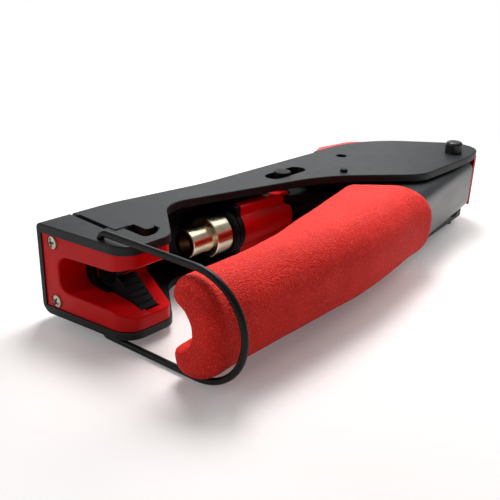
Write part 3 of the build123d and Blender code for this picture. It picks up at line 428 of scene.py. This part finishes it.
foam_red, tree, out = start_finish("foam_red")
shader = add_node(tree, "ShaderNodeBsdfPrincipled")
set_inputs(shader, {
    "Roughness": 0.66,
    "Specular IOR Level": 0.18,
    "Sheen Weight": 0.02,
    "Sheen Roughness": 0.5,
    "Sheen Tint": (1.0, 0.5, 0.46, 1),
})
where = add_node(tree, "ShaderNodeTexCoord")
cells = add_node(tree, "ShaderNodeTexVoronoi")
set_inputs(cells, {"Scale": CELLS_PER_M})
fleck = object_noise(tree, FLECKS_PER_M)
body_red = two_tone(tree, object_noise(tree, 120.0, 4.0), (0.70, 0.011, 0.006), (0.80, 0.016, 0.0085))
skin_red = add_node(tree, "ShaderNodeMix", data_type="RGBA")
skin_red.inputs[7].default_value = PALE_RED
pits = add_node(tree, "ShaderNodeMath", operation="ADD")
wire(
    tree,
    (where.outputs["Object"], cells.inputs["Vector"]),
    (remap(tree, fleck, 0.0, FLECK_SHARE, FLECK_SPAN), skin_red.inputs[0]),
    (body_red, skin_red.inputs[6]),
    (skin_red.outputs[2], shader.inputs["Base Color"]),
    (cells.outputs["Distance"], pits.inputs[0]),
    (fleck, pits.inputs[1]),
    (shader.outputs[0], out.inputs["Surface"]),
)
roughen(tree, shader, pits.outputs[0], PIT_STRENGTH, PIT_DEPTH)
print("foam cells per mm:", CELLS_PER_M * MM)

# %% [markdown]
# ## Giving the solids their finish
# A solid that already has the right shape stays as it is and only changes its material. A table from
# finish to pieces keeps this short and shows at a glance what is made of what.

# %% Finish of each solid
finish_of = {
    satin_black: ["frame"],
    moulded_red: ["head_block", "slide", "back_insert"],
    black_oxide: [
        "anvil_plate", "upper_jaw", "lower_jaw", "lock_ring", "slide_core", "cross_pin", "pivot_clip",
        "stop_studs", "links", "link_spacer", "jaw_pins", "pivot_washers",
    ],
    cap_black: ["pivot_pin"],
    lacquered_wire: ["bail"],
    grey_coat: ["handle_channel"],
    turned_nickel: ["plunger"],
    zinc_plate: ["head_screws", "slide_screw", "link_pin"],
    spring_wire: ["return_spring", "upper_jaw_spring", "lower_jaw_spring"],
    bush_bronze: ["pivot_bush"],
    foam_red: ["grip"],
}
for finish, names in finish_of.items():
    for name in names:
        mesh = nodes[name].data
        mesh.materials.clear()
        mesh.materials.append(finish)
print("solids finished:", sum(len(names) for names in finish_of.values()))

# %% [markdown]
# ## Foam sleeve
# The real sleeve is soft, so none of its edges is sharp: the two lips of the finger groove roll over,
# and the ends swell a little. One way is to model it again with subdivision; the other is to take the
# solid, wrap it in an even skin of small faces, and let that skin relax. The second keeps the exact
# place of the sleeve on the handle. Two displacements then give it the slow waviness of hand-fitted
# foam and the grain of its cells.

# %% Helpers for meshes
WELD = 0.001 * MM


def welded_copy(mesh):
    """A copy of a solid's mesh in which faces share their corner points."""
    copy = mesh.copy()
    shape = bmesh.new()
    shape.from_mesh(copy)
    bmesh.ops.remove_doubles(shape, verts=shape.verts, dist=WELD)
    shape.to_mesh(copy)
    shape.free()
    return copy


def evaluated_copy(obj, name):
    """The mesh of an object with its modifiers carried out."""
    bpy.context.view_layer.update()
    depsgraph = bpy.context.evaluated_depsgraph_get()
    mesh = bpy.data.meshes.new_from_object(obj.evaluated_get(depsgraph))
    mesh.name = name
    return mesh


def shade_smooth(mesh):
    """Lets the light run evenly over the faces."""
    mesh.polygons.foreach_set("use_smooth", [True] * len(mesh.polygons))


def cloud(name, size):
    """A cloud texture for a displacement, sized in metres."""
    texture = bpy.data.textures.new(name, "CLOUDS")
    texture.noise_scale = size
    texture.noise_depth = 1
    return texture


# %% Wrap, relax and grain the sleeve
SKIN = 0.75 * MM
WAVES = (("waviness", 14 * MM, 0.35 * MM), ("cells", 1.1 * MM, 0.16 * MM))

sleeve = bpy.data.objects.new("foam_sleeve", welded_copy(nodes["grip"].data))
scene.collection.objects.link(sleeve)
skin = sleeve.modifiers.new("skin", "REMESH")
skin.mode = "VOXEL"
skin.voxel_size = SKIN
relax = sleeve.modifiers.new("relax", "SMOOTH")
relax.factor = 0.5
relax.iterations = 5
for name, size, height in WAVES:
    push = sleeve.modifiers.new(name, "DISPLACE")
    push.texture = cloud(name, size)
    push.texture_coords = "LOCAL"
    push.strength = height
    push.mid_level = 0.5
sleeve.data = evaluated_copy(sleeve, "foam_sleeve")
sleeve.modifiers.clear()
print("sleeve faces:", len(sleeve.data.polygons))

# %% [markdown]
# Foam that is pushed on a handle bulges where it ends. The rear end is moved outwards along the handle,
# and the lower lobe of the free end sags. Both moves fade smoothly into the rest of the sleeve, so no
# step shows.

# %% Swell the ends of the sleeve
REAR_LEAN = Vector((0.79, -0.61, 0.0))
REAR_SWELL, REAR_REACH = 1.1 * MM, 9 * MM
LOBE_SAG, LOBE_REACH, LOBE_DEPTH = 0.9 * MM, 14 * MM, 10 * MM


def ease(value):
    """Runs smoothly from 0 to 1."""
    value = min(1.0, max(0.0, value))
    return value * value * (3 - 2 * value)


low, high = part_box("grip")
middle = (low[2] + high[2]) / 2
rear_most = max(REAR_LEAN.dot(vertex.co) for vertex in sleeve.data.vertices)
for vertex in sleeve.data.vertices:
    to_rear = rear_most - REAR_LEAN.dot(vertex.co)
    vertex.co += REAR_LEAN * (REAR_SWELL * ease(1 - to_rear / REAR_REACH))
    if vertex.co.z < middle:
        near_end = ease(1 - (vertex.co.x - low[0]) / LOBE_REACH)
        vertex.co.z -= LOBE_SAG * near_end * ease((middle - vertex.co.z) / LOBE_DEPTH)
sleeve.data.materials.clear()
sleeve.data.materials.append(foam_red)
shade_smooth(sleeve.data)
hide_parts("grip")
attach(sleeve, "handle")
print("sleeve rear end moved by mm:", round(REAR_SWELL / MM, 1))


# %% [markdown]
# ## Screws of the head
# Two small pan-head screws with a cross recess hold the red head. What repeats is a job for Geometry
# Nodes: one head is made from a cylinder whose top is lifted to a dome, two bars are cut out of it for
# the recess, and the result is set on a line of points. Each screw is turned by its own angle, because
# no two are ever tightened alike. The sizes are inputs of the tree; the head's radius, the places and
# the overall length come from the solids' own box.

# %% Helpers for geometry trees
def new_tree(name, inputs):
    """A geometry node tree with named inputs given as name, socket type, value."""
    tree = bpy.data.node_groups.new(name, "GeometryNodeTree")
    sockets = {}
    for label, kind, value in inputs:
        socket = tree.interface.new_socket(label, in_out="INPUT", socket_type="NodeSocket" + kind)
        sockets[label] = (socket.identifier, value)
    tree.interface.new_socket("Geometry", in_out="OUTPUT", socket_type="NodeSocketGeometry")
    use = tree.nodes.new("NodeGroupInput").outputs
    return tree, sockets, use, tree.nodes.new("NodeGroupOutput").inputs


def feed(tree, node, values):
    """Fills a node's inputs in their order, each from a socket or a number."""
    for slot, value in zip(node.inputs, values):
        if isinstance(value, (int, float)):
            slot.default_value = value
        else:
            tree.links.new(value, slot)
    return node.outputs[0]


def math_of(tree, operation, *values):
    """One Math node on two values."""
    return feed(tree, add_node(tree, "ShaderNodeMath", operation=operation), values)


def vector_of(tree, x, y, z):
    """A vector put together from three values."""
    return feed(tree, add_node(tree, "ShaderNodeCombineXYZ"), (x, y, z))


def made_piece(name, tree, sockets):
    """Runs a tree on an empty mesh and keeps the result as a plain mesh object."""
    piece = bpy.data.objects.new(name, bpy.data.meshes.new(name))
    scene.collection.objects.link(piece)
    maker = piece.modifiers.new(name, "NODES")
    maker.node_group = tree
    for identifier, value in sockets.values():
        maker[identifier] = value
    piece.data = evaluated_copy(piece, name)
    piece.modifiers.clear()
    return piece


# %% Domed head of a screw
HEAD_DEPTH = 1.3 * MM
low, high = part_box("head_screws")
screw_r = (high[1] - low[1]) / 2
screw_tree, screw_inputs, use, out = new_tree("cross_recess_screws", [
    ("Head Radius", "Float", screw_r),
    ("Head Depth", "Float", HEAD_DEPTH),
    ("Dome", "Float", 0.4 * MM),
    ("Shank Radius", "Float", 1.2 * MM),
    ("Shank Length", "Float", high[0] - low[0] - HEAD_DEPTH),
    ("Recess Length", "Float", 2.4 * MM),
    ("Recess Width", "Float", 0.75 * MM),
    ("Recess Depth", "Float", 1.0 * MM),
    ("First Place", "Vector", (low[0], (low[1] + high[1]) / 2, low[2] + screw_r)),
    ("Step", "Vector", (0.0, 0.0, high[2] - low[2] - 2 * screw_r)),
    ("Count", "Int", 2),
    ("Seed", "Int", 4),
    ("Finish", "Material", zinc_plate),
])
pan = add_node(screw_tree, "GeometryNodeMeshCylinder", fill_type="NGON")
set_inputs(pan, {"Vertices": 48, "Fill Segments": 8})
where = add_node(screw_tree, "GeometryNodeInputPosition")
apart = add_node(screw_tree, "ShaderNodeSeparateXYZ")
dome = add_node(screw_tree, "GeometryNodeSetPosition")
x, y, z = apart.outputs
across = math_of(
    screw_tree, "ADD", math_of(screw_tree, "POWER", x, 2.0), math_of(screw_tree, "POWER", y, 2.0)
)
share = math_of(screw_tree, "DIVIDE", across, math_of(screw_tree, "POWER", use["Head Radius"], 2.0))
rise = math_of(screw_tree, "MULTIPLY", use["Dome"], math_of(screw_tree, "SUBTRACT", 1.0, share))
top = math_of(screw_tree, "MULTIPLY", rise, math_of(screw_tree, "GREATER_THAN", z, 0.0))
wire(
    screw_tree,
    (use["Head Radius"], pan.inputs["Radius"]),
    (use["Head Depth"], pan.inputs["Depth"]),
    (where.outputs[0], apart.inputs[0]),
    (pan.outputs["Mesh"], dome.inputs["Geometry"]),
    (vector_of(screw_tree, 0.0, 0.0, top), dome.inputs["Offset"]),
)
print("screw head radius in mm:", round(screw_r / MM, 2))

# %% [markdown]
# The recess is cut one bar after the other. Two bars that are first joined would overlap, and a boolean
# needs a cutter with a clear inside.

# %% Cross recess
half = math_of(screw_tree, "MULTIPLY", use["Head Depth"], 0.5)
crown = math_of(screw_tree, "ADD", half, use["Dome"])
bar_z = math_of(screw_tree, "MULTIPLY", use["Recess Depth"], 2.0)
carved = dome.outputs[0]
for first, second in (("Recess Length", "Recess Width"), ("Recess Width", "Recess Length")):
    bar = add_node(screw_tree, "GeometryNodeMeshCube")
    placed = add_node(screw_tree, "GeometryNodeTransform")
    cut = add_node(screw_tree, "GeometryNodeMeshBoolean", operation="DIFFERENCE", solver="EXACT")
    wire(
        screw_tree,
        (vector_of(screw_tree, use[first], use[second], bar_z), bar.inputs["Size"]),
        (bar.outputs["Mesh"], placed.inputs["Geometry"]),
        (vector_of(screw_tree, 0.0, 0.0, crown), placed.inputs["Translation"]),
        (carved, cut.inputs["Mesh 1"]),
        (placed.outputs[0], cut.inputs["Mesh 2"]),
    )
    carved = cut.outputs[0]
print("bars cut:", len([node for node in screw_tree.nodes if node.bl_idname == "GeometryNodeMeshBoolean"]))

# %% Shank, row and finish of the screws
shank = add_node(screw_tree, "GeometryNodeMeshCylinder")
set_inputs(shank, {"Vertices": 24})
below = add_node(screw_tree, "GeometryNodeTransform")
whole = add_node(screw_tree, "GeometryNodeJoinGeometry")
row = add_node(screw_tree, "GeometryNodeMeshLine", mode="OFFSET", count_mode="TOTAL")
spread = add_node(screw_tree, "GeometryNodeInstanceOnPoints")
set_inputs(spread, {"Rotation": (0.0, -math.pi / 2, 0.0)})
chance = add_node(screw_tree, "FunctionNodeRandomValue", data_type="FLOAT")
chance.inputs[3].default_value = math.pi / 2
turn = add_node(screw_tree, "GeometryNodeRotateInstances")
real = add_node(screw_tree, "GeometryNodeRealizeInstances")
dress = add_node(screw_tree, "GeometryNodeSetMaterial")
length = math_of(screw_tree, "ADD", use["Shank Length"], use["Head Depth"])
drop = math_of(screw_tree, "MULTIPLY", length, -0.5)
wire(
    screw_tree,
    (use["Shank Radius"], shank.inputs["Radius"]),
    (use["Shank Length"], shank.inputs["Depth"]),
    (shank.outputs["Mesh"], below.inputs["Geometry"]),
    (vector_of(screw_tree, 0.0, 0.0, drop), below.inputs["Translation"]),
    (below.outputs[0], whole.inputs[0]),
    (carved, whole.inputs[0]),
    (use["Count"], row.inputs["Count"]),
    (use["First Place"], row.inputs["Start Location"]),
    (use["Step"], row.inputs["Offset"]),
    (row.outputs[0], spread.inputs["Points"]),
    (whole.outputs[0], spread.inputs["Instance"]),
    (use["Seed"], chance.inputs["Seed"]),
    (spread.outputs[0], turn.inputs["Instances"]),
    (vector_of(screw_tree, 0.0, 0.0, chance.outputs[1]), turn.inputs["Rotation"]),
    (turn.outputs[0], real.inputs[0]),
    (real.outputs[0], dress.inputs["Geometry"]),
    (use["Finish"], dress.inputs["Material"]),
    (dress.outputs[0], out[0]),
)
print("nodes in the tree of the screws:", len(screw_tree.nodes))

# %% Set the screws
screws = made_piece("cross_recess_screws", screw_tree, screw_inputs)
screws.data.transform(Matrix.Translation((HEAD_DEPTH / 2, 0.0, 0.0)))
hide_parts("head_screws")
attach(screws, "frame")
print("screw faces:", len(screws.data.polygons))

# %% [markdown]
# ## Springs
# The return spring is a coil that the slide presses against the back of the frame. A solid coil
# cannot shorten; it is wound again as a spiral curve with a round section. The two leaves behind the
# jaws are copies of the solids with a fine bevel, because stamped steel has no sharp edge.

# %% Tree of the return spring
WIRE = 0.9 * MM
low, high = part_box("return_spring")
coil_tree, coil_inputs, use, out = new_tree("return_coil", [
    ("Turns", "Float", 14.0),
    ("Coil Radius", "Float", (high[1] - low[1] - WIRE) / 2),
    ("Coil Length", "Float", high[0] - low[0] - WIRE),
    ("Wire Radius", "Float", WIRE / 2),
    ("Start", "Vector", (low[0] + WIRE / 2, (low[1] + high[1]) / 2, (low[2] + high[2]) / 2)),
    ("Finish", "Material", spring_wire),
])
spiral = add_node(coil_tree, "GeometryNodeCurveSpiral")
set_inputs(spiral, {"Resolution": 28})
section = add_node(coil_tree, "GeometryNodeCurvePrimitiveCircle")
set_inputs(section, {"Resolution": 12})
tube = add_node(coil_tree, "GeometryNodeCurveToMesh")
set_inputs(tube, {"Fill Caps": True})
lay = add_node(coil_tree, "GeometryNodeTransform")
set_inputs(lay, {"Rotation": (0.0, math.pi / 2, 0.0)})
real = add_node(coil_tree, "GeometryNodeRealizeInstances")
dress = add_node(coil_tree, "GeometryNodeSetMaterial")
wire(
    coil_tree,
    (use["Turns"], spiral.inputs["Rotations"]),
    (use["Coil Radius"], spiral.inputs["Start Radius"]),
    (use["Coil Radius"], spiral.inputs["End Radius"]),
    (use["Coil Length"], spiral.inputs["Height"]),
    (use["Wire Radius"], section.inputs["Radius"]),
    (spiral.outputs[0], tube.inputs["Curve"]),
    (section.outputs[0], tube.inputs["Profile Curve"]),
    (tube.outputs[0], lay.inputs["Geometry"]),
    (use["Start"], lay.inputs["Translation"]),
    (lay.outputs[0], real.inputs[0]),
    (real.outputs[0], dress.inputs["Geometry"]),
    (use["Finish"], dress.inputs["Material"]),
    (dress.outputs[0], out[0]),
)
print("spring length in mm:", round((high[0] - low[0]) / MM, 1))

# %% Wind the return spring
coil = made_piece("return_coil", coil_tree, coil_inputs)
shade_smooth(coil.data)
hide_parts("return_spring")
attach(coil, "frame")
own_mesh(coil)
print("coil faces:", len(coil.data.polygons))

# %% Bevelled leaves
LEAF_BEVEL = 0.06 * MM
for side in ("upper", "lower"):
    source = side + "_jaw_spring"
    low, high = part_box(source)
    leaf = bpy.data.objects.new(side + "_leaf", welded_copy(nodes[source].data))
    scene.collection.objects.link(leaf)
    edge = leaf.modifiers.new("edge", "BEVEL")
    edge.width = LEAF_BEVEL
    edge.limit_method = "ANGLE"
    leaf.data = evaluated_copy(leaf, side + "_leaf")
    leaf.modifiers.clear()
    leaf.data.materials.clear()
    leaf.data.materials.append(spring_wire)
    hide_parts(source)
    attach(leaf, "frame")
    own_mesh(leaf)
    print(leaf.name, "faces:", len(leaf.data.polygons))

# %% [markdown]
# ## Size of the dressed tool
# The box of the dressed tool is printed in millimetres.

# %% Print the box
low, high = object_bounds()
print("box in mm:", [round((b - a) / MM, 1) for a, b in zip(low, high)])
